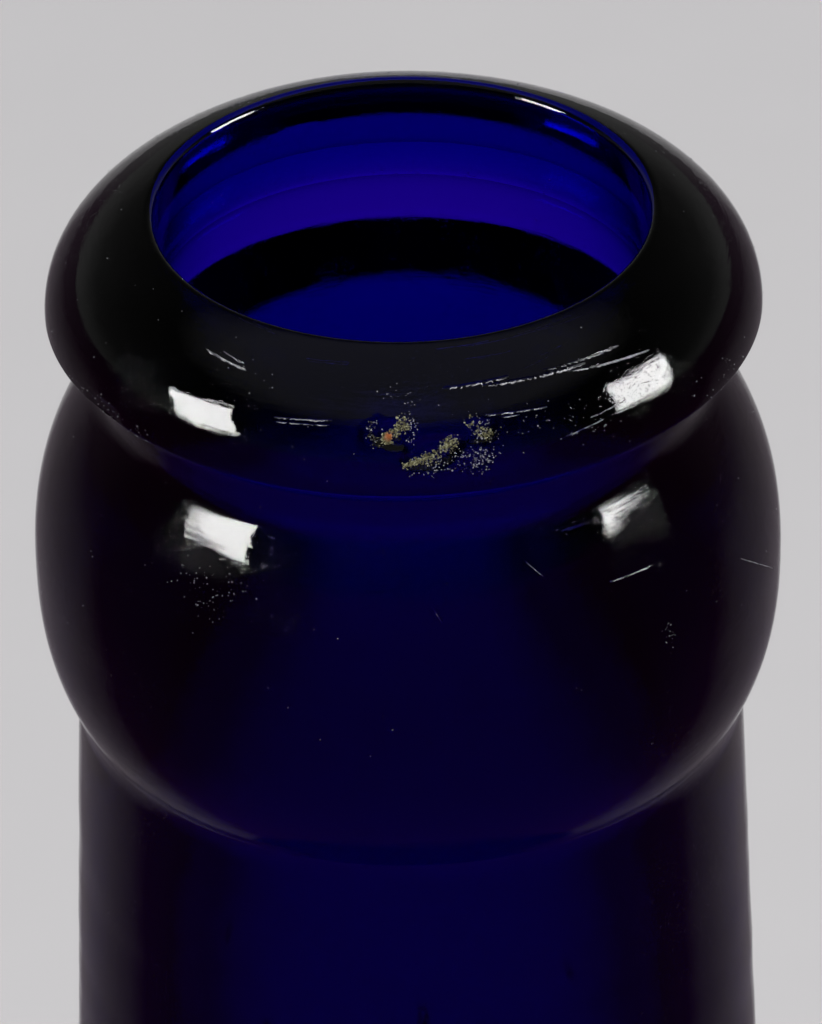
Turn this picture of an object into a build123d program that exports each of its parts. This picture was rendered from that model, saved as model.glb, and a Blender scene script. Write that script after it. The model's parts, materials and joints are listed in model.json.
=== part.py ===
"""Mouth-blown cobalt glass bottle with an applied finish: a blown body whose neck end is wrapped
by a bulbous collar ring and capped by a lip ring.  Millimetres, +Z up, origin at the centre of
the ring the bottle stands on."""
import os
from math import acos, asin, cos, degrees, radians, sin, tan

from build123d import *

# ---- Finish: drops are measured down from the top of the lip ----
bore_radius = 9.5            # takes a 3/4 inch cork
bore_depth = 26.0            # straight bore, then the inside follows the neck
lip_width = 4.4              # from the bore out to the nose of the lip ring
lip_nose_drop = 4.1          # widest level of the lip
lip_top_slope = 15.0         # degrees the top falls outward from the mouth
mouth_edge_round = 0.35      # fire-polished edge of the mouth
crease_depth = 1.7           # the groove between lip and collar, in from the nose
crease_drop = 5.4
collar_top_drop = 7.6        # the groove turns out into the collar here
collar_top_step = 0.2        # and stands this far out from the crease
collar_top_slope = 33.0      # degrees from vertical
collar_bulge = 1.45          # widest part of the collar, out from the neck
collar_widest_drop = 15.25
finish_height = 21.7         # down to the collar's lower edge
neck_end_wall = 1.5          # rim of the neck inside the finish
neck_end_drop = 3.0          # the lip covers the neck end by this much

# ---- Fullness of the finish's curves: lengths of their end handles ----
lip_top_handle = 2.4
lip_nose_handle = 1.9
lip_under_handle = 0.15
lip_crease_handle = 1.0
lip_under_slope = 31.0       # degrees the underside falls inward to the crease
groove_crease_handle = 1.4
groove_turn_handle = 0.9
collar_top_handle = 2.3
collar_upper_handle = 3.7
collar_lower_handle = 1.7
collar_edge_handle = 2.8
collar_edge_slope = 31.0     # degrees from vertical where the collar meets the neck

# ---- Neck, shoulder and body ----
bottle_height = 188.0
neck_wall = 3.8              # at the collar's lower edge
neck_flare = 2.5             # degrees the neck opens downward
neck_length = 30.0           # from the collar to the start of the shoulder
neck_sweep_radius = 40.0     # hollow curve from neck to shoulder
shoulder_radius = 32.0       # full curve from shoulder to body
body_radius = 32.0
wall = 4.0

# ---- Base ----
heel_radius = 4.5
stand_width = 1.6            # flat ring the bottle stands on
push_up_depth = 9.0          # hollow under the base
push_up_edge_round = 1.2
base_thickness = 7.0
floor_corner_radius = 6.0    # inside, between floor and wall

# ---- Radii of the finish ----
lip_radius = bore_radius + lip_width
crease_radius = lip_radius - crease_depth
neck_radius = bore_radius + neck_wall
collar_radius = neck_radius + collar_bulge
neck_end_radius = bore_radius + neck_end_wall

# ---- Levels ----
lip_top = bottle_height
neck_end = lip_top - neck_end_drop
lip_nose_level = lip_top - lip_nose_drop
crease_level = lip_top - crease_drop
collar_widest_level = lip_top - collar_widest_drop
collar_bottom = lip_top - finish_height
neck_bottom = collar_bottom - neck_length

# The groove turns out into the collar here.
collar_top = Vector(crease_radius + collar_top_step, lip_top - collar_top_drop)

# The neck end tapers straight from the collar's lower edge up to its rim.
neck_end_taper = (neck_radius - neck_end_radius) / (neck_end - collar_bottom)
neck_end_radius_at_crease = neck_radius - neck_end_taper * (crease_level - collar_bottom)


def heading(from_vertical):
    """Unit direction pointing down and turned outward by this many degrees."""
    return Vector(sin(radians(from_vertical)), -cos(radians(from_vertical)))


# ---- Shoulder: a hollow curve running into a full one, both tangent to what they meet ----
neck_foot = Vector(neck_radius + neck_length * tan(radians(neck_flare)), neck_bottom)
shoulder_slope = degrees(
    acos(
        (neck_sweep_radius * cos(radians(neck_flare)) + shoulder_radius + neck_foot.X - body_radius)
        / (neck_sweep_radius + shoulder_radius)
    )
)

# ---- Push-up: a shallow dome, with the floor of the cavity parallel to it ----
push_up_radius = body_radius - heel_radius - stand_width
dome_radius = (push_up_radius**2 + push_up_depth**2) / (2 * push_up_depth)
dome_half_angle = degrees(asin(push_up_radius / dome_radius))
floor_dome_radius = dome_radius + base_thickness
cavity_radius = body_radius - wall
floor_half_angle = degrees(asin(cavity_radius / floor_dome_radius))
floor_centre = push_up_depth + base_thickness

# ---- Blown body: body, shoulder and neck in one wall of glass ----
with BuildPart() as blown_body:
    with BuildSketch(Plane.XZ) as body_outline:
        with BuildLine():
            neck_side = Polyline(
                (0, neck_end), (neck_end_radius, neck_end), (neck_radius, collar_bottom), neck_foot
            )
            sweep = JernArc(
                neck_foot, heading(neck_flare), neck_sweep_radius, shoulder_slope - neck_flare
            )
            full = JernArc(sweep @ 1, heading(shoulder_slope), shoulder_radius, -shoulder_slope)
            side = Line(full @ 1, (body_radius, heel_radius))
            heel = JernArc(side @ 1, (0, -1), heel_radius, -90)
            stand = Line(heel @ 1, (push_up_radius, 0))
            dome = JernArc((0, push_up_depth), (1, 0), dome_radius, -dome_half_angle)
            Line(dome @ 0, (0, neck_end))
        make_face()
        stand_edge = body_outline.vertices().sort_by_distance((push_up_radius, 0))[0]
        fillet(stand_edge, push_up_edge_round)
    revolve(axis=Axis.Z)
    with BuildSketch(Plane.XZ) as cavity_outline:
        with BuildLine():
            bore_side = Polyline(
                (0, neck_end),
                (bore_radius, neck_end),
                (bore_radius, lip_top - bore_depth),
                neck_foot - heading(neck_flare).rotate(Axis.Z, 90) * wall,
            )
            inner_sweep = JernArc(
                bore_side @ 1,
                heading(neck_flare),
                neck_sweep_radius + wall,
                shoulder_slope - neck_flare,
            )
            inner_full = JernArc(
                inner_sweep @ 1, heading(shoulder_slope), shoulder_radius - wall, -shoulder_slope
            )
            floor = JernArc((0, floor_centre), (1, 0), floor_dome_radius, -floor_half_angle)
            Line(inner_full @ 1, floor @ 1)
            Line(floor @ 0, (0, neck_end))
        make_face()
        floor_corner = cavity_outline.vertices().sort_by_distance(floor @ 1)[0]
        fillet(floor_corner, floor_corner_radius)
    revolve(axis=Axis.Z, mode=Mode.SUBTRACT)

# ---- Collar ring: laid round the neck end, with a bulbous side and a sharp lower edge ----
with BuildPart() as collar_ring:
    with BuildSketch(Plane.XZ):
        with BuildLine():
            seam = Line((neck_radius, collar_bottom), (neck_end_radius_at_crease, crease_level))
            shelf = Line(seam @ 1, (crease_radius, crease_level))
            groove = Bezier(
                shelf @ 1,
                (crease_radius, crease_level - groove_crease_handle),
                collar_top - heading(collar_top_slope) * groove_turn_handle,
                collar_top,
            )
            upper = Bezier(
                collar_top,
                collar_top + heading(collar_top_slope) * collar_top_handle,
                (collar_radius, collar_widest_level + collar_upper_handle),
                (collar_radius, collar_widest_level),
            )
            lower = Bezier(
                upper @ 1,
                (collar_radius, collar_widest_level - collar_lower_handle),
                seam @ 0 + Vector(
                    collar_edge_handle * sin(radians(collar_edge_slope)),
                    collar_edge_handle * cos(radians(collar_edge_slope)),
                ),
                seam @ 0,
            )
        make_face()
    revolve(axis=Axis.Z)

# ---- Lip ring: covers the neck end and forms the mouth ----
with BuildPart() as lip_ring:
    with BuildSketch(Plane.XZ):
        with BuildLine():
            inside = Polyline(
                (crease_radius, crease_level),
                (neck_end_radius_at_crease, crease_level),
                (neck_end_radius, neck_end),
                (bore_radius, neck_end),
                (bore_radius, lip_top - mouth_edge_round),
            )
            mouth_edge = JernArc(inside @ 1, (0, 1), mouth_edge_round, -90 - lip_top_slope)
            top = Bezier(
                mouth_edge @ 1,
                mouth_edge @ 1 + heading(90 - lip_top_slope) * lip_top_handle,
                (lip_radius, lip_nose_level + lip_nose_handle),
                (lip_radius, lip_nose_level),
            )
            under = Bezier(
                top @ 1,
                (lip_radius, lip_nose_level - lip_under_handle),
                inside @ 0 + Vector(
                    lip_crease_handle * cos(radians(lip_under_slope)),
                    lip_crease_handle * sin(radians(lip_under_slope)),
                ),
                inside @ 0,
            )
        make_face()
    revolve(axis=Axis.Z)

blown_body.part.label = "blown_body"
collar_ring.part.label = "collar_ring"
lip_ring.part.label = "lip_ring"

os.makedirs("parts", exist_ok=True)
export_step(blown_body.part, "parts/blown_body.step")
export_step(collar_ring.part, "parts/collar_ring.step")
export_step(lip_ring.part, "parts/lip_ring.step")
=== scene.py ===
"""Looks of a worn cobalt glass bottle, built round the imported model.  Metres, +Z up.

The blown body, the collar and the lip were melted together, so light meets no boundary between
them: one closed skin of glass stands for the three CAD nodes, with its chips, scratches, seed
bubbles and dirt."""
import json
import random
from math import acos, asin, ceil, cos, degrees, pi, radians, sin, sqrt, tan

import bmesh
import bpy
from mathutils import Matrix, Vector, noise


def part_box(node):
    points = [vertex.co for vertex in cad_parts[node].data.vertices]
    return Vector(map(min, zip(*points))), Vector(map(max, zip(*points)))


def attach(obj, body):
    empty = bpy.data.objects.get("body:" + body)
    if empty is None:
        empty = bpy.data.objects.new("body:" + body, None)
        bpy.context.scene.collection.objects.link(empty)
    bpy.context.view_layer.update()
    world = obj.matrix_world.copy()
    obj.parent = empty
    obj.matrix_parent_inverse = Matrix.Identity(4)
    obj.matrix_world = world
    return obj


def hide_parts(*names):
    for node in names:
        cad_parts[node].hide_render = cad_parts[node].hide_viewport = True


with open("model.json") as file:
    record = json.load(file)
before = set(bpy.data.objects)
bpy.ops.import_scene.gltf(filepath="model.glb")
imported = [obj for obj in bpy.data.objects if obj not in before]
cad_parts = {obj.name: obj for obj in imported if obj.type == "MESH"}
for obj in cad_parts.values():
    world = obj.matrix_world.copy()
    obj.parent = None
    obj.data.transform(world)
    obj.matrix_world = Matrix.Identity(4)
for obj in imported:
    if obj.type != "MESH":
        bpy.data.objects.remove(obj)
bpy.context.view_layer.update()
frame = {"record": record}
random.seed(1860)
MM = 0.001

# ---- Sizes that the frame gives ----
lip_low, lip_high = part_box("lip_ring")
collar_low, collar_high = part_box("collar_ring")
body_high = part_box("blown_body")[1]
mouth = next(m for m in frame["record"]["mounts"] if m["name"] == "mouth_bore")
lip_top = lip_high[2]
lip_radius = lip_high[0]
crease_level = lip_low[2]
collar_bottom = collar_low[2]
collar_radius = collar_high[0]
body_radius = body_high[0]
bore_radius = mouth["dims"]["r_mm"] * MM
bore_bottom = mouth["pos_m"][2] - mouth["dims"]["length_mm"] * MM / 2

# ---- The rest of the outline, as the CAD model has it ----
lip_nose_drop = 4.1 * MM
lip_top_slope = 15.0
mouth_edge_round = 0.35 * MM
crease_depth = 1.7 * MM
lip_under_slope = 31.0
lip_under_reach = 1.0 * MM
lip_under_nose = 0.15 * MM
collar_top_drop = 7.6 * MM
collar_top_step = 0.2 * MM
collar_top_slope = 33.0
collar_widest_drop = 15.25 * MM
collar_edge_slope = 31.0
neck_wall = 3.8 * MM
neck_flare = 2.5
neck_length = 30.0 * MM
neck_sweep_radius = 40.0 * MM
shoulder_radius = 32.0 * MM
wall = 4.0 * MM
heel_radius = 4.5 * MM
stand_width = 1.6 * MM
push_up_depth = 9.0 * MM
base_thickness = 7.0 * MM
floor_corner_radius = 6.0 * MM

# How far each curve of the finish runs on straight at its ends.
lip_top_handle = 2.4 * MM
nose_rise_handle = 1.9 * MM
crease_handle = 1.4 * MM
collar_step_handle = 0.9 * MM
collar_top_handle = 2.3 * MM
collar_rise_handle = 3.7 * MM
collar_fall_handle = 1.7 * MM
collar_edge_handle = 2.8 * MM
# Corners of the outline that molten glass rounds off, and how far.
crease_softening = 0.45 * MM
stand_softening = 0.9 * MM

# ---- Mesh fineness ----
SEGMENTS = 304               # round the finish; half as many elsewhere
FRONT_SHARE = 0.35           # spacing at the worn front, against the average
LIP_STEP = 0.10 * MM
COLLAR_STEP = 0.24 * MM
NECK_STEP = 0.8 * MM
BODY_STEP = 2.6 * MM
MOUTH_EDGE_STEP = 0.08 * MM
HEEL_STEP = 0.5 * MM
STAND_STEP = 0.3 * MM
DOME_STEP = 1.2 * MM
FLOOR_STEP = 2 * MM
FLOOR_CORNER_STEP = 1.0 * MM
SOFTENING_PASSES = 6


# ------------------------------------------------------------------ outline
def heading(from_vertical):
    """Unit direction pointing down and turned outward by this many degrees."""
    return Vector((sin(radians(from_vertical)), -cos(radians(from_vertical))))


def line(start, end, step):
    """Points from start to end, without start."""
    count = max(1, ceil((end - start).length / step))
    return [start.lerp(end, i / count) for i in range(1, count + 1)]


def arc(start, tangent, radius, turn, step):
    """Points along an arc that leaves start along tangent and turns by this many degrees."""
    side = Vector((-tangent.y, tangent.x)) * (1 if turn > 0 else -1)
    centre = start + side * radius
    count = max(2, ceil(radius * abs(radians(turn)) / step))
    return [
        centre + Matrix.Rotation(radians(turn * i / count), 2) @ (start - centre)
        for i in range(1, count + 1)
    ]


def bezier(p0, p1, p2, p3, step):
    """Points along a cubic curve, without its start."""
    rough = (p1 - p0).length + (p2 - p1).length + (p3 - p2).length
    count = max(2, ceil(rough / step))
    points = []
    for i in range(1, count + 1):
        t = i / count
        s = 1 - t
        points.append(p0 * s**3 + p1 * 3 * s * s * t + p2 * 3 * s * t * t + p3 * t**3)
    return points


def finish_outline():
    """The lip and the collar, from the mouth's edge down to the collar's lower edge."""
    crease = Vector((lip_radius - crease_depth, crease_level))
    nose = Vector((lip_radius, lip_top - lip_nose_drop))
    collar_top = Vector((crease.x + collar_top_step, lip_top - collar_top_drop))
    collar_widest = Vector((collar_radius, lip_top - collar_widest_drop))
    collar_edge = Vector((bore_radius + neck_wall, collar_bottom))
    down = Vector((0, -1))
    points = [Vector((bore_radius, lip_top - mouth_edge_round))]
    points += arc(points[-1], -down, mouth_edge_round, -90 - lip_top_slope, MOUTH_EDGE_STEP)
    points += bezier(
        points[-1],
        points[-1] + heading(90 - lip_top_slope) * lip_top_handle,
        nose - down * nose_rise_handle,
        nose,
        LIP_STEP,
    )
    points += bezier(
        nose,
        nose + down * lip_under_nose,
        crease
        + Vector((cos(radians(lip_under_slope)), sin(radians(lip_under_slope)))) * lip_under_reach,
        crease,
        LIP_STEP,
    )
    points += bezier(
        crease,
        crease + down * crease_handle,
        collar_top - heading(collar_top_slope) * collar_step_handle,
        collar_top,
        LIP_STEP * 1.6,
    )
    points += bezier(
        collar_top,
        collar_top + heading(collar_top_slope) * collar_top_handle,
        collar_widest - down * collar_rise_handle,
        collar_widest,
        COLLAR_STEP,
    )
    edge_rise = Vector((sin(radians(collar_edge_slope)), cos(radians(collar_edge_slope))))
    points += bezier(
        collar_widest,
        collar_widest + down * collar_fall_handle,
        collar_edge + edge_rise * collar_edge_handle,
        collar_edge,
        COLLAR_STEP,
    )
    return soften(points, crease, crease_softening)


def soften(points, corner, reach):
    """Rounds one corner of an outline, as molten glass does."""
    for _ in range(SOFTENING_PASSES):
        points = [
            (points[i - 1] + points[i] * 2 + points[i + 1]) / 4
            if 0 < i < len(points) - 1 and (points[i] - corner).length < reach
            else points[i]
            for i in range(len(points))
        ]
    return points


neck_foot = Vector(
    (bore_radius + neck_wall + neck_length * tan(radians(neck_flare)), collar_bottom - neck_length)
)
shoulder_slope = degrees(
    acos(
        (neck_sweep_radius * cos(radians(neck_flare)) + shoulder_radius + neck_foot.x - body_radius)
        / (neck_sweep_radius + shoulder_radius)
    )
)
push_up_radius = body_radius - heel_radius - stand_width
dome_radius = (push_up_radius**2 + push_up_depth**2) / (2 * push_up_depth)
dome_angle = degrees(asin(push_up_radius / dome_radius))


def body_outline(start):
    """The outside below the collar: neck, shoulder, side, heel and the dome under the base."""
    points = line(start, neck_foot, NECK_STEP)
    points += arc(
        neck_foot, heading(neck_flare), neck_sweep_radius, shoulder_slope - neck_flare, BODY_STEP
    )
    points += arc(points[-1], heading(shoulder_slope), shoulder_radius, -shoulder_slope, BODY_STEP)
    points += line(points[-1], Vector((body_radius, heel_radius)), BODY_STEP)
    points += arc(points[-1], Vector((0, -1)), heel_radius, -90, HEEL_STEP)
    stand_edge = Vector((push_up_radius, 0))
    points += line(points[-1], stand_edge, STAND_STEP)
    dome = arc(Vector((0, push_up_depth)), Vector((1, 0)), dome_radius, -dome_angle, DOME_STEP)
    points += dome[-2::-1]
    return soften(points, stand_edge, stand_softening)


def inside_outline():
    """The inside, from the centre of the floor up to the mouth's edge."""
    cavity_radius = body_radius - wall
    floor_radius = dome_radius + base_thickness
    floor_angle = degrees(
        asin((cavity_radius - floor_corner_radius) / (floor_radius + floor_corner_radius))
    )
    floor_centre = Vector((0, push_up_depth + base_thickness))
    points = arc(floor_centre, Vector((1, 0)), floor_radius, -floor_angle, FLOOR_STEP)
    tangent = Vector((cos(radians(floor_angle)), -sin(radians(floor_angle))))
    points += arc(points[-1], tangent, floor_corner_radius, 90 + floor_angle, FLOOR_CORNER_STEP)
    # From the mouth down, then reversed.
    start = Vector((bore_radius, lip_top - mouth_edge_round))
    down = line(start, Vector((bore_radius, bore_bottom)), NECK_STEP)
    side = heading(neck_flare)
    foot = neck_foot - Vector((-side.y, side.x)) * wall
    down += line(down[-1], foot, 2 * NECK_STEP)
    down += arc(foot, side, neck_sweep_radius + wall, shoulder_slope - neck_flare, BODY_STEP)
    down += arc(down[-1], heading(shoulder_slope), shoulder_radius - wall, -shoulder_slope, BODY_STEP)
    down += line(down[-1], points[-1], BODY_STEP)
    return [floor_centre] + points + down[-2::-1]


# ------------------------------------------------------------------ wear, as places on the lip
finish = finish_outline()


def azimuth_angle(azimuth):
    """Azimuth 0 faces -Y, the worn front, and grows toward +X."""
    return radians(azimuth - 90)


def on_finish(azimuth, drop):
    """Place, outward normal, sideways and downward directions at a drop below the lip's top."""
    level = lip_top - drop * MM
    i = next(k for k in range(12, len(finish) - 1) if finish[k + 1].y <= level)
    share = (finish[i].y - level) / max(finish[i].y - finish[i + 1].y, 1e-9)
    at = finish[i].lerp(finish[i + 1], share)
    along = (finish[i + 1] - finish[i]).normalized()
    a = azimuth_angle(azimuth)
    out = Vector((cos(a), sin(a), 0))
    side = Vector((-sin(a), cos(a), 0))
    down = out * along.x + Vector((0, 0, along.y))
    return out * at.x + Vector((0, 0, at.y)), side.cross(down) * -1, side, down


# Chips and dents: azimuth, drop, half length and half width, turn from level, depth, roughness.
CHIPS = [
    (-1.6, 2.00, 0.90, 0.62, 12, 0.17, 0.035),
    (3.9, 2.55, 1.25, 0.62, -12, 0.22, 0.040),
    (12.0, 2.05, 0.62, 0.50, -20, 0.13, 0.040),
    (-5.4, 1.95, 0.50, 0.75, 25, 0.07, 0.020),
    (11.0, 2.90, 0.70, 0.50, -15, 0.05, 0.045),
    (-55.0, 4.00, 1.20, 0.50, 0, 0.050, 0.030),
    (44.0, 9.95, 0.60, 0.16, -14, 0.045, 0.010),
    (118.0, 2.60, 0.90, 0.60, 12, 0.140, 0.030),
    (201.0, 3.40, 0.70, 0.50, -8, 0.100, 0.030),
]


def chip_frames():
    made = []
    for azimuth, drop, length, width, turn, depth, rough in CHIPS:
        at, _, side, down = on_finish(azimuth, drop)
        c, s = cos(radians(turn)), sin(radians(turn))
        made.append(
            (at, side * c + down * s, down * c - side * s, length * MM, width * MM, depth * MM,
             rough * MM)
        )
    return made


chips = chip_frames()


def smooth_step(low, high, value):
    t = min(max((value - low) / (high - low), 0.0), 1.0)
    return t * t * (3 - 2 * t)


def chip_depth(place):
    """How far the chips cut in at a place on the lip."""
    cut = 0.0
    for at, across, down, length, width, depth, rough in chips:
        away = place - at
        if away.length > 2 * length:
            continue
        ragged = 1 + 0.22 * noise.noise(place / (0.45 * MM))
        d = sqrt((away.dot(across) / length) ** 2 + (away.dot(down) / width) ** 2) * ragged
        if d < 1:
            shell = (1 - d * d) ** 0.6 * (1 + 0.12 * sin(14 * d))
            cut += depth * shell + rough * noise.noise(place / (0.12 * MM)) * (1 - d)
    return cut


# Unevenness in millimetres: that of the finish, what the blown glass below adds, and wavelengths.
FINISH_SWING = 0.05
OUTSIDE_SWING = 0.22
INSIDE_SWING = 0.30
FINISH_WAVE = 8
FURTHER_WAVE = 14


def hand_made(place, inside):
    """The slow unevenness of mouth-blown glass, always into the glass."""
    drop = lip_top - place.z
    share = smooth_step(24 * MM, 60 * MM, drop)
    size = (FINISH_SWING + share * (INSIDE_SWING if inside else OUTSIDE_SWING)) * MM
    scale = (FINISH_WAVE + share * FURTHER_WAVE) * MM
    seed = Vector((7.3, 1.9, 4.1)) * (2 if inside else 1)
    away = size * (0.5 + 0.5 * noise.noise(place / scale + seed))
    return away if inside else away * smooth_step(0.5 * MM, 8 * MM, place.z)


# ------------------------------------------------------------------ the skin of glass
def warped_angles():
    """Angles round the axis, closest together at the worn front."""
    angles = []
    for i in range(SEGMENTS):
        w = 2 * i / SEGMENTS - 1
        angles.append(azimuth_angle(180 * w * (FRONT_SHARE + (1 - FRONT_SHARE) * w * w)))
    return angles


def glass_mesh():
    outside = finish + body_outline(finish[-1])
    inside = inside_outline()
    loop = outside + inside
    pole_out, pole_in = len(outside) - 1, len(outside)
    angles = warped_angles()
    mesh = bmesh.new()
    rings = []
    for k, point in enumerate(loop):
        before = loop[k - 1] if k not in (0, pole_in) else point
        after = loop[(k + 1) % len(loop)] if k != pole_out else point
        along = (after - before).normalized()
        if k in (pole_out, pole_in):
            rings.append([mesh.verts.new((0, 0, point.y))])
            continue
        is_inside = k > pole_in
        low = lip_top - 11 * MM if is_inside else collar_bottom - 3 * MM
        stride = 1 if point.y > low else 2
        ring = []
        for a in angles[::stride]:
            out = Vector((cos(a), sin(a), 0))
            place = out * point.x + Vector((0, 0, point.y))
            normal = out * -along.y + Vector((0, 0, along.x))
            cut = hand_made(place, is_inside)
            if not is_inside and point.y > collar_bottom:
                cut += chip_depth(place)
            ring.append(mesh.verts.new(place - normal * cut))
        rings.append(ring)
    for k, ring in enumerate(rings):
        if k != pole_out:
            join_rings(mesh, ring, rings[(k + 1) % len(rings)])
    bmesh.ops.recalc_face_normals(mesh, faces=mesh.faces)
    if mesh.calc_volume(signed=True) < 0:
        bmesh.ops.reverse_faces(mesh, faces=mesh.faces)
    return mesh


def join_rings(mesh, a, b):
    """Faces between two rings: equal, one twice as fine as the other, or one a single point."""
    if len(a) < len(b):
        a, b = b, a
    n, m = len(a), len(b)
    for i in range(n):
        j = (i + 1) % n
        if m == 1:
            mesh.faces.new((a[i], a[j], b[0]))
        elif m == n:
            mesh.faces.new((a[i], a[j], b[j], b[i]))
        elif i % 2 == 0:
            here, there = b[i // 2], b[(i // 2 + 1) % m]
            mesh.faces.new((a[i], a[j], here))
            mesh.faces.new((a[j], a[(i + 2) % n], there))
            mesh.faces.new((a[j], there, here))


SIDE_BUBBLES = 26
NECK_BUBBLES = 8              # only in the back of the neck


def add_bubbles(mesh):
    """Seed bubbles: small closed hollows in the thick of the wall, drawn out along the neck."""
    places = []
    for _ in range(SIDE_BUBBLES):
        azimuth, height = random.uniform(0, 360), random.uniform(20, 88) * MM
        places.append((azimuth, height, body_radius - wall * random.uniform(0.35, 0.65), 1.3))
    for _ in range(NECK_BUBBLES):
        azimuth, down = random.uniform(110, 250), random.uniform(24, 48) * MM
        radius = bore_radius + neck_wall * random.uniform(0.4, 0.6) + 0.4 * MM
        places.append((azimuth, lip_top - down, radius, 2.4))
    for azimuth, height, radius, stretch in places:
        a = azimuth_angle(azimuth)
        size = random.uniform(0.10, 0.36) * MM
        place = Matrix.Translation((radius * cos(a), radius * sin(a), height))
        shape = Matrix.Diagonal((size, size, size * stretch, 1))
        made = bmesh.ops.create_icosphere(mesh, subdivisions=2, radius=1, matrix=place @ shape)
        faces = {f for v in made["verts"] for f in v.link_faces}
        bmesh.ops.reverse_faces(mesh, faces=list(faces))


def new_object(name, mesh, material):
    data = bpy.data.meshes.new(name)
    mesh.to_mesh(data)
    mesh.free()
    data.shade_smooth()
    data.materials.append(material)
    made = bpy.data.objects.new(name, data)
    bpy.context.scene.collection.objects.link(made)
    return made


# ------------------------------------------------------------------ node helpers
def new_material(name):
    material = bpy.data.materials.new(name)
    material.use_nodes = True
    material.node_tree.nodes.clear()
    return material, material.node_tree


def node(tree, kind, **values):
    """A node with some inputs set to numbers or linked to sockets."""
    made = tree.nodes.new(kind)
    for key, value in values.items():
        target = made.inputs[key.replace("_", " ")]
        if isinstance(value, bpy.types.NodeSocket):
            tree.links.new(value, target)
        else:
            target.default_value = value
    return made


def maths(tree, operation, *values, clamp=False):
    made = tree.nodes.new("ShaderNodeMath")
    made.operation = operation
    made.use_clamp = clamp
    for i, value in enumerate(values):
        if isinstance(value, bpy.types.NodeSocket):
            tree.links.new(value, made.inputs[i])
        else:
            made.inputs[i].default_value = value
    return made.outputs[0]


def remap(tree, value, low, high, to_low, to_high, kind="SMOOTHSTEP"):
    made = tree.nodes.new("ShaderNodeMapRange")
    made.interpolation_type = kind
    tree.links.new(value, made.inputs["Value"])
    for key, number in (
        ("From Min", low), ("From Max", high), ("To Min", to_low), ("To Max", to_high)
    ):
        made.inputs[key].default_value = number
    return made.outputs["Result"]


def blotches(tree, place, scale, detail=3.0, rough=0.55):
    """Noise of so many blotches to the millimetre."""
    made = node(tree, "ShaderNodeTexNoise", Vector=place, Scale=scale / MM, Detail=detail,
                Roughness=rough)
    return made.outputs["Fac"]


def vector_maths(tree, operation, *values):
    made = tree.nodes.new("ShaderNodeVectorMath")
    made.operation = operation
    for i, value in enumerate(values):
        if isinstance(value, bpy.types.NodeSocket):
            tree.links.new(value, made.inputs[i])
        else:
            made.inputs[i].default_value = value
    return made


def colour_ramp(tree, value, steps):
    """A ramp through steps of position and colour."""
    ramp = tree.nodes.new("ShaderNodeValToRGB")
    stops = ramp.color_ramp.elements
    while len(stops) < len(steps):
        stops.new(0.5)
    for stop, (position, colour) in zip(stops, steps):
        stop.position, stop.color = position, (*colour, 1)
    tree.links.new(value, ramp.inputs["Fac"])
    return ramp.outputs["Color"]


def grey_ramp(tree, value, steps, invert=False):
    return colour_ramp(
        tree, value, [(position, [1 - share if invert else share] * 3) for position, share in steps]
    )


def choose(tree, switch, off, on):
    """The colour `on` where the switch is 1, and `off` where it is 0."""
    made = tree.nodes.new("ShaderNodeMix")
    made.data_type = "RGBA"
    tree.links.new(switch, made.inputs["Factor"])
    for key, value in (("A", off), ("B", on)):
        if isinstance(value, bpy.types.NodeSocket):
            tree.links.new(value, made.inputs[key])
        else:
            made.inputs[key].default_value = value
    return made.outputs["Result"]


# ------------------------------------------------------------------ materials
# Scratches: azimuth and drop at each end, half width in millimetres.
SCRATCHES = [
    (7.0, 0.86, 19.0, 0.80, 0.050),
    (14.0, 0.90, 34.0, 0.98, 0.058),
    (26.0, 0.84, 42.0, 0.92, 0.030),
    (30.0, 1.02, 47.0, 1.35, 0.034),
    (-22.0, 1.80, -12.3, 1.66, 0.034),
    (-21.5, 1.92, -12.6, 1.80, 0.030),
    (13.4, 1.62, 24.0, 1.72, 0.036),
    (16.0, 1.74, 19.0, 1.76, 0.022),
    (-40.0, 0.70, -30.0, 0.84, 0.028),
    (-36.0, 0.62, -31.0, 0.72, 0.020),
    (34.0, 9.90, 42.5, 10.00, 0.042),
    (31.0, 2.40, 38.0, 2.30, 0.018),
    (26.0, 2.75, 33.0, 2.60, 0.014),
    (20.0, 8.40, 22.5, 9.00, 0.016),
    (4.0, 9.60, 5.0, 10.00, 0.016),
    (62.0, 12.0, 75.0, 14.5, 0.020),
]


def scratch_mask(tree, sideways, drop):
    """1 along the middle of each scratch, 0 beyond its half width."""
    total = None
    for azimuth_a, drop_a, azimuth_b, drop_b, half in SCRATCHES:
        reach = radians(1) * lip_radius / MM
        ax, bx = azimuth_a * reach, azimuth_b * reach
        dx, dy = bx - ax, drop_b - drop_a
        length = sqrt(dx * dx + dy * dy)
        px = maths(tree, "SUBTRACT", sideways, ax)
        py = maths(tree, "SUBTRACT", drop, drop_a)
        run = maths(tree, "MULTIPLY_ADD", px, dx / length, maths(tree, "MULTIPLY", py, dy / length))
        run = maths(tree, "MINIMUM", maths(tree, "MAXIMUM", run, 0.0), length)
        off_x = maths(tree, "MULTIPLY_ADD", run, -dx / length, px)
        off_y = maths(tree, "MULTIPLY_ADD", run, -dy / length, py)
        away = maths(
            tree, "SQRT",
            maths(tree, "MULTIPLY_ADD", off_x, off_x, maths(tree, "MULTIPLY", off_y, off_y)),
        )
        mask = remap(tree, away, half, half * 0.2, 0.0, 1.0)
        total = mask if total is None else maths(tree, "MAXIMUM", total, mask)
    return total


# The depth of blue: what is left of red, green and blue, and how strongly a metre takes it.
GLASS_COLOUR = (0.42, 0.0, 0.877, 1)
GLASS_DENSITY = 2600.0
GLASS_IOR = 1.52
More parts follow.
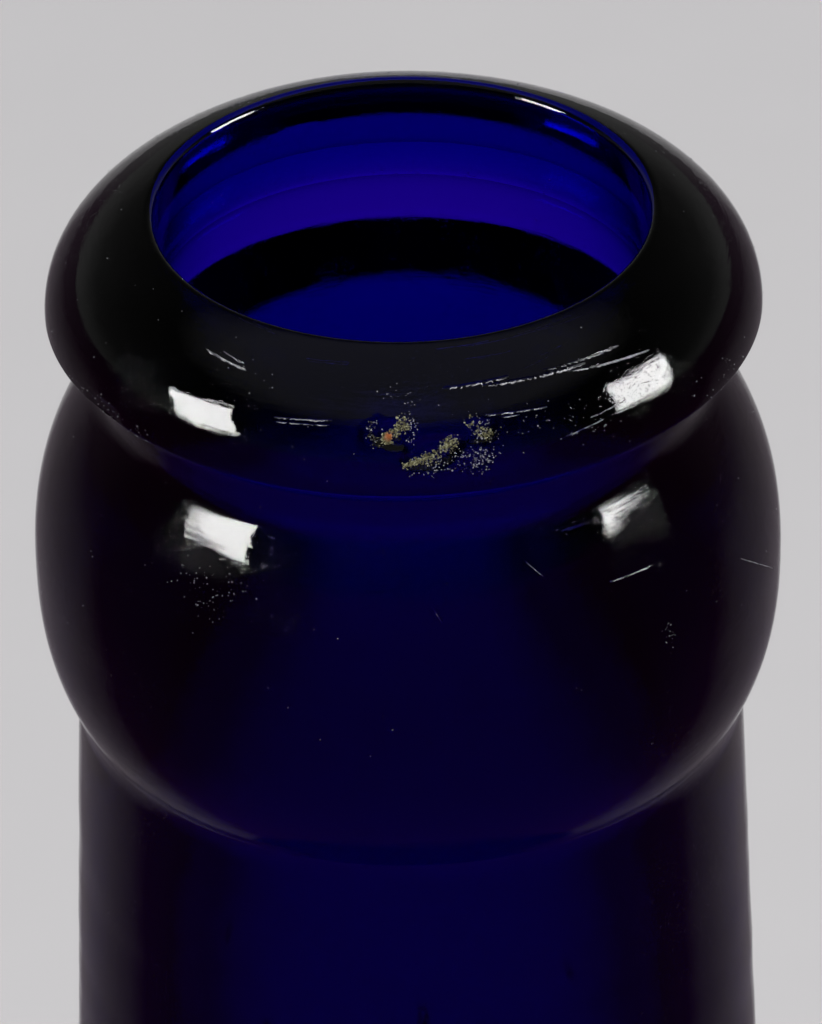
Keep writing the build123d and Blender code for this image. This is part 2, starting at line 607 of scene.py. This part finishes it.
# Drops between which the lip's underside is out of reach of the tools, each faded in or out.
UNTOOLED_FROM = (3.7, 4.2)
UNTOOLED_TO = (5.6, 6.2)
# Heights that rub against other bottles: the heel, then a band below the shoulder.
HEEL_RUB_TOP = (2 * MM, 14 * MM)
BAND_RUB_BOTTOM = (75 * MM, 90 * MM)
BAND_RUB_TOP = (92 * MM, 105 * MM)


def cobalt_glass():
    """Clear glass coloured by its depth, with a worn, pitted and scratched skin."""
    material, tree = new_material("cobalt_glass")
    place = node(tree, "ShaderNodeTexCoord").outputs["Object"]
    parts = node(tree, "ShaderNodeSeparateXYZ", Vector=place)
    azimuth = maths(
        tree, "ARCTAN2", parts.outputs["X"], maths(tree, "MULTIPLY", parts.outputs["Y"], -1.0)
    )
    sideways = maths(tree, "MULTIPLY", azimuth, lip_radius / MM)
    drop = maths(
        tree, "DIVIDE", maths(tree, "SUBTRACT", lip_top, parts.outputs["Z"]), MM
    )
    # Rubbed glass: many fine pits, in drifts.
    drift = blotches(tree, place, 0.35, 4.0, 0.6)
    pits = remap(tree, blotches(tree, place, 7.0, 2.0, 0.7), 0.62, 0.74, 0.0, 1.0)
    pits = maths(tree, "MULTIPLY", pits, remap(tree, drift, 0.46, 0.66, 0.05, 1.0))
    # Tooling lines run round the finish.
    tooled = node(
        tree, "ShaderNodeCombineXYZ",
        X=maths(tree, "MULTIPLY", azimuth, 0.9), Y=drop, Z=0.0,
    ).outputs[0]
    lines = node(
        tree, "ShaderNodeTexNoise", Vector=tooled, Scale=6.0, Detail=4.0, Roughness=0.6
    ).outputs["Fac"]
    lines = maths(tree, "MULTIPLY", lines, remap(tree, drop, 30.0, 18.0, 0.25, 1.0))
    lines = maths(tree, "MULTIPLY", lines, remap(tree, drift, 0.40, 0.62, 0.5, 1.8))
    under_lip = maths(
        tree, "MULTIPLY",
        remap(tree, drop, *UNTOOLED_FROM, 0.0, 1.0), remap(tree, drop, *UNTOOLED_TO, 1.0, 0.0),
    )
    lines = maths(tree, "MULTIPLY", lines, maths(tree, "SUBTRACT", 1.0, under_lip))
    scratches = maths(
        tree, "MULTIPLY", scratch_mask(tree, sideways, drop),
        remap(tree, blotches(tree, place, 2.2), 0.32, 0.5, 0.35, 1.0),
    )
    # Scuffs where bottles rub together.
    height = parts.outputs["Z"]
    rubbed = maths(
        tree, "ADD",
        remap(tree, height, *HEEL_RUB_TOP[::-1], 0.0, 1.0),
        maths(tree, "MULTIPLY", remap(tree, height, *BAND_RUB_BOTTOM, 0.0, 1.0),
              remap(tree, height, *BAND_RUB_TOP[::-1], 0.0, 1.0)),
    )
    scuffs = maths(
        tree, "MULTIPLY", rubbed, remap(tree, blotches(tree, place, 0.5, 6.0, 0.7), 0.5, 0.68, 0.0, 1.0)
    )
    relief = maths(tree, "MULTIPLY_ADD", pits, -0.5, maths(tree, "MULTIPLY", lines, 0.35))
    relief = maths(tree, "MULTIPLY_ADD", scratches, -1.6, relief)
    relief = maths(tree, "MULTIPLY_ADD", scuffs, -0.5, relief)
    bump = node(tree, "ShaderNodeBump", Height=relief, Strength=0.6, Distance=0.03 * MM)
    rough = maths(tree, "MULTIPLY_ADD", drift, 0.03, 0.006)
    rough = maths(tree, "MULTIPLY_ADD", scratches, 0.30, rough)
    rough = maths(tree, "MULTIPLY_ADD", scuffs, 0.22, rough)
    rough = maths(tree, "MULTIPLY_ADD", pits, 0.10, rough, clamp=True)
    shader = node(
        tree, "ShaderNodeBsdfPrincipled", Base_Color=(1, 1, 1, 1), Roughness=rough, IOR=GLASS_IOR,
        Transmission_Weight=1.0, Normal=bump.outputs["Normal"],
    )
    depth = node(
        tree, "ShaderNodeVolumeAbsorption", Color=GLASS_COLOUR, Density=GLASS_DENSITY
    )
    out = node(tree, "ShaderNodeOutputMaterial", Surface=shader.outputs[0])
    tree.links.new(depth.outputs[0], out.inputs["Volume"])
    return material


RUST_PLACE = (-2.8, 2.0)      # azimuth and drop
RUST_CORE = 0.08 * MM
RUST_REACH = 0.28 * MM
RUST_COLOUR = (0.36, 0.085, 0.012, 1)


def crust_material():
    """Dried dirt in the chips: pale yellow-green to olive, with a rusty spot."""
    material, tree = new_material("chip_crust")
    place = node(tree, "ShaderNodeTexCoord").outputs["Object"]
    dirt = colour_ramp(
        tree, blotches(tree, place, 6.5, 4.0, 0.75),
        ((0.34, (0.020, 0.017, 0.008)), (0.5, (0.13, 0.12, 0.050)), (0.70, (0.50, 0.50, 0.33))),
    )
    from_rust = vector_maths(tree, "DISTANCE", place, on_finish(*RUST_PLACE)[0]).outputs["Value"]
    rust = remap(tree, from_rust, RUST_REACH, RUST_CORE, 0.0, 1.0)
    grain = blotches(tree, place, 16.0, 3.0, 0.7)
    bump = node(tree, "ShaderNodeBump", Height=grain, Strength=0.8, Distance=0.05 * MM)
    shader = node(
        tree, "ShaderNodeBsdfPrincipled", Base_Color=choose(tree, rust, dirt, RUST_COLOUR),
        Roughness=remap(tree, grain, 0.3, 0.7, 0.55, 0.95), Normal=bump.outputs["Normal"],
    )
    node(tree, "ShaderNodeOutputMaterial", Surface=shader.outputs[0])
    return material


def frost_material(name, brightest):
    """Glass broken to a pale powder along scratches and bruises."""
    material, tree = new_material(name)
    place = node(tree, "ShaderNodeTexCoord").outputs["Object"]
    pale = colour_ramp(
        tree, blotches(tree, place, 3.0, 5.0, 0.7),
        ((0.34, (0.03, 0.03, 0.045)), (0.66, (brightest, brightest, brightest * 1.05))),
    )
    grain = blotches(tree, place, 20.0, 3.0, 0.7)
    bump = node(tree, "ShaderNodeBump", Height=grain, Strength=0.9, Distance=0.03 * MM)
    shader = node(
        tree, "ShaderNodeBsdfPrincipled", Base_Color=pale,
        Roughness=remap(tree, grain, 0.3, 0.7, 0.25, 0.75), Normal=bump.outputs["Normal"],
    )
    node(tree, "ShaderNodeOutputMaterial", Surface=shader.outputs[0])
    return material


# ------------------------------------------------------------------ dirt and dust
# Thickness of a flake against its width.
GRAIN_FLATNESS = 0.6
POWDER_FLATNESS = 0.35


def add_flake(mesh, at, normal, size, flatness):
    """One irregular grain, pressed flat against the surface."""
    turn = normal.to_track_quat("Z", "X").to_matrix().to_4x4()
    turn = turn @ Matrix.Rotation(random.uniform(0, 2 * pi), 4, "Z")
    shape = Matrix.Diagonal(
        (size * random.uniform(0.7, 1.3), size * random.uniform(0.5, 1.0), size * flatness, 1)
    )
    made = bmesh.ops.create_icosphere(
        mesh, subdivisions=1, radius=1, matrix=Matrix.Translation(at) @ turn @ shape
    )
    for v in made["verts"]:
        v.co += (v.co - at) * random.uniform(-0.25, 0.25)


# Runs of crust along the chips' edges: azimuth and drop at each end, spread and grain size in
# millimetres, clumps, and grains in a clump.
CRUST_RUNS = [
    (-3.4, 2.15, -2.4, 1.85, 0.10, 0.055, 4, 26),
    (-2.4, 2.00, 0.2, 1.55, 0.12, 0.042, 7, 20),
    (-0.6, 3.00, 2.4, 2.80, 0.10, 0.034, 6, 18),
    (2.2, 2.85, 5.2, 2.55, 0.13, 0.034, 7, 16),
    (4.6, 2.62, 7.6, 2.20, 0.15, 0.042, 7, 22),
    (11.2, 1.80, 13.6, 2.25, 0.17, 0.034, 7, 16),
    (-5.9, 1.75, -4.4, 2.25, 0.10, 0.018, 6, 8),
]
# Bruises, ground to powder: azimuth and drop, spread across and down, and how many flakes.
BRUISES = [
    (11.0, 2.95, 0.42, 0.26, 150),
    (12.6, 2.05, 0.28, 0.24, 70),
    (0.8, 1.75, 0.16, 0.30, 50),
    (4.8, 2.95, 0.55, 0.20, 70),
    (-5.2, 2.00, 0.22, 0.22, 30),
    (-1.2, 0.85, 0.50, 0.12, 16),
    (24.0, 1.95, 0.90, 0.22, 26),
    (29.5, 2.75, 0.60, 0.10, 12),
    (-52.0, 4.00, 1.60, 0.30, 60),
    (-30.0, 0.95, 0.80, 0.20, 12),
    (-36.0, 9.60, 1.20, 0.50, 60),
    (-33.0, 10.30, 0.50, 0.50, 30),
    (43.0, 12.70, 0.16, 0.40, 22),
    (60.0, 3.60, 1.40, 0.40, 26),
]


def near(azimuth, drop, across, down_by):
    """A place on the finish, at random distances from an azimuth and a drop."""
    reach = degrees(across * MM / lip_radius)
    drop = min(max(drop + random.gauss(0, down_by), 0.3), 20.0)
    at, normal = on_finish(azimuth + random.gauss(0, reach), drop)[:2]
    return at - normal * chip_depth(at), normal


def crust_mesh():
    mesh = bmesh.new()
    for azimuth_a, drop_a, azimuth_b, drop_b, spread, size, clumps, grains in CRUST_RUNS:
        for _ in range(clumps):
            t = random.random()
            azimuth = azimuth_a + (azimuth_b - azimuth_a) * t + random.gauss(0, 0.25)
            drop = drop_a + (drop_b - drop_a) * t + random.gauss(0, 0.06)
            for _ in range(grains):
                at, normal = near(azimuth, drop, spread, spread * 0.6)
                add_flake(mesh, at, normal, size * random.uniform(0.4, 1.5) * MM, GRAIN_FLATNESS)
    return mesh


def frost_mesh():
    mesh = bmesh.new()
    for azimuth, drop, across, down_by, count in BRUISES:
        for _ in range(count):
            at, normal = near(azimuth, drop, across, down_by)
            add_flake(mesh, at, normal, random.uniform(0.008, 0.042) * MM, POWDER_FLATNESS)
    return mesh


def scratch_mesh():
    mesh = bmesh.new()
    for scratch in SCRATCHES:
        add_scratch(mesh, *scratch)
    return mesh


def add_scratch(mesh, azimuth_a, drop_a, azimuth_b, drop_b, half):
    """A scratch as broken slivers of ground glass, three-sided and closed."""
    count = max(4, round(abs(azimuth_b - azimuth_a) * 3))
    ring = None
    for i in range(count + 1):
        t = i / count
        ends = min(1.0, 6 * t, 6 * (1 - t))
        width = half * ends * random.uniform(0.25, 1.0) * MM
        skip = random.random() < 0.10
        drop = drop_a + (drop_b - drop_a) * t + random.gauss(0, 0.008)
        at, normal, _, down = on_finish(azimuth_a + (azimuth_b - azimuth_a) * t, drop)
        at = at - normal * chip_depth(at)
        if skip or width < 0.002 * MM:
            ring = close_end(mesh, ring)
            continue
        fresh = [
            mesh.verts.new(at - down * width - normal * 0.01 * MM),
            mesh.verts.new(at + normal * width * 0.35),
            mesh.verts.new(at + down * width - normal * 0.01 * MM),
        ]
        if ring is None:
            mesh.faces.new(fresh)
        else:
            for k in range(3):
                mesh.faces.new((ring[k], ring[(k + 1) % 3], fresh[(k + 1) % 3], fresh[k]))
        ring = fresh
    close_end(mesh, ring)


def close_end(mesh, ring):
    if ring is not None and ring[0].link_faces:
        if len(ring[0].link_faces) == 1:
            bmesh.ops.delete(mesh, geom=ring, context="VERTS")
        else:
            mesh.faces.new(ring[::-1])
    return None


DUST_SPECKS = 260


def dust_mesh():
    mesh = bmesh.new()
    for _ in range(DUST_SPECKS):
        at, normal = near(random.uniform(-180, 180), random.choice((1.2, 3.0, 9.0, 14.0)), 1.0, 1.4)
        add_flake(mesh, at, normal, random.uniform(0.008, 0.030) * MM, GRAIN_FLATNESS)
    return mesh


# ------------------------------------------------------------------ the pieces
skin = glass_mesh()
add_bubbles(skin)
glass = new_object("bottle_glass", skin, cobalt_glass())
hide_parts("blown_body", "collar_ring", "lip_ring")
crust = new_object("chip_crust", crust_mesh(), crust_material())
scratches = new_object("scratches", scratch_mesh(), frost_material("scratched_glass", 0.80))
powder = frost_material("ground_glass", 0.34)
bruises = new_object("bruises", frost_mesh(), powder)
dust = new_object("dust_specks", dust_mesh(), powder)
for piece in (glass, crust, scratches, bruises, dust):
    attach(piece, "root")


# ------------------------------------------------------------------ stage
def stage_piece(name, corners, faces, material):
    data = bpy.data.meshes.new(name)
    data.from_pydata(corners, [], faces)
    data.materials.append(material)
    made = bpy.data.objects.new(name, data)
    bpy.context.scene.collection.objects.link(made)
    return made


def floor_material():
    material, tree = new_material("floor")
    place = node(tree, "ShaderNodeTexCoord").outputs["Object"]
    low, high = ([FLOOR_SHADE * k for k in tint] for tint in ((0.98, 0.96, 0.98), (1.02, 1.0, 1.02)))
    mottled = colour_ramp(tree, blotches(tree, place, 0.05), ((0.0, low), (1.0, high)))
    shader = node(
        tree, "ShaderNodeBsdfPrincipled", Base_Color=mottled, Roughness=0.9, Specular_IOR_Level=0.2
    )
    node(tree, "ShaderNodeOutputMaterial", Surface=shader.outputs[0])
    return material


PAINTED_REFLECTION_GLOW = (0.034, 0.006, 0.030, 1)      # painted glow, standing in for the dim light a dark card gives back, seen only in reflections and through the glass


def painted_reflection_material():
    """A card seen only in reflections and through the glass, never by the camera or the lamps: its
    faint glow is a painted dark reflection of the room, with a clear gap behind the bottle and a slow
    fade round its sides.
    """
    material, tree = new_material("painted_reflection_screen")
    place = node(tree, "ShaderNodeTexCoord").outputs["Object"]
    dark = node(tree, "ShaderNodeEmission", Color=PAINTED_REFLECTION_GLOW, Strength=1.0)
    clear = node(tree, "ShaderNodeBsdfTransparent")
    solid = grey_ramp(tree, surround(tree, place), SCREEN_GAP, invert=True)
    mix = node(tree, "ShaderNodeMixShader", Fac=solid)
    tree.links.new(clear.outputs[0], mix.inputs[1])
    tree.links.new(dark.outputs[0], mix.inputs[2])
    node(tree, "ShaderNodeOutputMaterial", Surface=mix.outputs[0])
    return material


# Steps of a place and a brightness there.  The place is how far round from the front (0) to
# straight behind (1) in SEEN_THROUGH, SCREEN_GAP and MIRRORED_AROUND, and the height of the
# direction looked in, as its sine, in the others.
SEEN_THROUGH = ((0.30, 0.015), (0.50, 0.05), (0.68, 0.15), (0.90, 0.24), (0.975, 1.0))
SCREEN_GAP = ((0.50, 0.0), (0.57, 0.08), (0.68, 0.15), (0.90, 0.24), (0.975, 1.0))
MIRRORED_AROUND = ((0.30, 0.03), (0.50, 0.08), (0.68, 0.14), (0.90, 0.17), (0.975, 0.12))
MIRRORED_BY_HEIGHT = ((0.0, 1.0), (0.20, 0.8), (0.35, 0.35), (0.55, 0.2), (0.78, 0.08))
MIRRORED_CEILING = ((0.74, 0.0), (0.87, 0.13))


def surround(tree, place):
    """0 straight in front of the bottle, 1 straight behind it."""
    flat = vector_maths(tree, "MULTIPLY", place, (1, 1, 0)).outputs[0]
    unit = vector_maths(tree, "NORMALIZE", flat).outputs[0]
    behind = node(tree, "ShaderNodeSeparateXYZ", Vector=unit).outputs["Y"]
    return remap(tree, behind, -1.0, 1.0, 0.0, 1.0, "LINEAR")


FLOOR_SHADE = 0.50
OVERHEAD_POWER = 40
OVERHEAD_SIZE = 3
OVERHEAD_PLACE = (0, 1.5, 1.7)
FLOOR_HALF = 2.5
FLOOR_DROP = 0.1 * MM         # keeps the floor clear of the base
SCREEN_FOOT = 1.0 * MM
SCREEN_GAP_ROUND_BODY = 4 * MM
SCREEN_RADIUS = 45 * MM
SCREEN_RISE = 3.2 * MM        # above the lip
SCREEN_SIDES = 96
stage_piece(
    "floor",
    [(x * FLOOR_HALF, y * FLOOR_HALF, -FLOOR_DROP) for x, y in ((-1, -1), (1, -1), (1, 1), (-1, 1))],
    [(0, 1, 2, 3)],
    floor_material(),
)
around = [2 * pi * i / SCREEN_SIDES for i in range(SCREEN_SIDES)]
screen = stage_piece(
    "painted_reflection_screen",
    [
        (r * cos(a), r * sin(a), z)
        for r, z in (
            (body_radius + SCREEN_GAP_ROUND_BODY, SCREEN_FOOT),
            (SCREEN_RADIUS, SCREEN_FOOT),
            (SCREEN_RADIUS, lip_top + SCREEN_RISE),
        )
        for a in around
    ],
    [
        (k + i, k + (i + 1) % SCREEN_SIDES, k + (i + 1) % SCREEN_SIDES + SCREEN_SIDES,
         k + i + SCREEN_SIDES)
        for k in (0, SCREEN_SIDES)
        for i in range(SCREEN_SIDES)
    ],
    painted_reflection_material(),
)
# Seen only by reflected and refracted rays: the card paints dark reflections and shade into the glass
# and is no thing in the room.
screen.visible_camera = screen.visible_diffuse = screen.visible_shadow = False


PALE = (0.69, 0.67, 0.69)
CEILING = (0.15, 0.148, 0.15)
# Greys seen through the glass between the pale floor's edge and the ceiling, by height.
ROOM_BY_HEIGHT = ((0.34, 0.60), (0.50, 0.17), (0.62, 0.05), (0.78, 0.06))


def room():
    """A dim studio.  Through the glass it is pale low down behind the bottle and dark elsewhere;
    in reflections it has its own greys.  The camera itself sees a plain pale ground."""
    world = bpy.data.worlds.new("room")
    bpy.context.scene.world = world
    world.use_nodes = True
    tree = world.node_tree
    tree.nodes.clear()
    toward = node(tree, "ShaderNodeTexCoord").outputs["Generated"]
    height = node(tree, "ShaderNodeSeparateXYZ", Vector=toward).outputs["Z"]
    around = surround(tree, toward)
    greys = [(place, (tone, tone * 0.98, tone * 1.02)) for place, tone in ROOM_BY_HEIGHT]
    by_height = colour_ramp(tree, height, [(0.0, PALE)] + greys + [(0.9, CEILING)])
    through = vector_maths(tree, "SCALE", by_height)
    tree.links.new(grey_ramp(tree, around, SEEN_THROUGH), through.inputs["Scale"])
    mirrored = vector_maths(
        tree, "MULTIPLY",
        grey_ramp(tree, height, MIRRORED_BY_HEIGHT), grey_ramp(tree, around, MIRRORED_AROUND),
    )
    mirrored = vector_maths(
        tree, "ADD", mirrored.outputs[0], grey_ramp(tree, height, MIRRORED_CEILING)
    )
    # A ray refracted by smooth glass counts as glossy too, so those are taken out.
    path = node(tree, "ShaderNodeLightPath")
    refracted = path.outputs["Is Transmission Ray"]
    mirror_only = maths(
        tree, "MULTIPLY", path.outputs["Is Glossy Ray"], maths(tree, "SUBTRACT", 1.0, refracted)
    )
    lit = choose(tree, mirror_only, through.outputs[0], mirrored.outputs[0])
    seen = choose(tree, path.outputs["Is Camera Ray"], lit, (*PALE, 1))
    ground = node(tree, "ShaderNodeBackground", Color=seen)
    node(tree, "ShaderNodeOutputWorld", Surface=ground.outputs[0])


def direction(azimuth, elevation):
    a = azimuth_angle(azimuth)
    flat = cos(radians(elevation))
    return Vector((cos(a) * flat, sin(a) * flat, sin(radians(elevation))))


SOFTBOX_AIM_DROP = 4 * MM
SOFTBOX_DISTANCE = 0.9
SOFTBOX_WIDTH = 21            # degrees
SOFTBOX_POWER = 7.3


def softbox(name, low, high):
    """A tall soft light seen from the lip between two directions, each azimuth and elevation."""
    target = Vector((0, 0, lip_top - SOFTBOX_AIM_DROP))
    bottom, top = direction(*low), direction(*high)
    middle = (bottom + top).normalized()
    light = bpy.data.lights.new(name, "AREA")
    light.shape = "RECTANGLE"
    light.size = 2 * SOFTBOX_DISTANCE * tan(radians(SOFTBOX_WIDTH / 2))
    light.size_y = 2 * SOFTBOX_DISTANCE * tan(bottom.angle(top) / 2)
    light.energy = SOFTBOX_POWER
    made = bpy.data.objects.new(name, light)
    bpy.context.scene.collection.objects.link(made)
    up = (top - bottom).normalized()
    side = up.cross(middle).normalized()
    up = middle.cross(side)
    place = Matrix((side, up, middle)).transposed().to_4x4()
    place.translation = target + middle * SOFTBOX_DISTANCE
    made.matrix_world = place
    made.visible_camera = False


room()
overhead = bpy.data.lights.new("overhead", "AREA")
overhead.size = OVERHEAD_SIZE
overhead.energy = OVERHEAD_POWER
overhead_light = bpy.data.objects.new("overhead", overhead)
bpy.context.scene.collection.objects.link(overhead_light)
overhead_light.location = OVERHEAD_PLACE
overhead_light.visible_camera = overhead_light.visible_glossy = False
overhead_light.visible_transmission = False
softbox("softbox_left", (-62.3, 12), (-74, 33.5))
softbox("softbox_right", (77.7, 12), (87, 35))

# ---- Camera: above the front of the finish, as close as a hand's length ----
camera_elevation = 33.5
camera_distance = 20.04 * lip_radius
camera_aim = Vector((0.01 * lip_radius, 0, lip_top - 1.0134 * lip_radius))
camera_roll = -1.04
camera_lens = 248.2
camera_data = bpy.data.cameras.new("camera")
camera_data.sensor_width = 36
camera_data.lens = camera_lens
camera_data.clip_start = 0.01
camera_data.clip_end = 50
camera = bpy.data.objects.new("camera", camera_data)
bpy.context.scene.collection.objects.link(camera)
back = direction(0, camera_elevation)
camera.matrix_world = (
    Matrix.Translation(camera_aim + back * camera_distance)
    @ back.to_track_quat("Z", "Y").to_matrix().to_4x4()
    @ Matrix.Rotation(radians(camera_roll), 4, "Z")
)
bpy.context.scene.camera = camera

GLASS_BOUNCES = 24            # enough to cross the thick finish several times over
MIRROR_BOUNCES = 10
scene = bpy.context.scene
scene.view_settings.view_transform = "Standard"
scene.cycles.max_bounces = GLASS_BOUNCES
scene.cycles.transmission_bounces = GLASS_BOUNCES
scene.cycles.glossy_bounces = MIRROR_BOUNCES
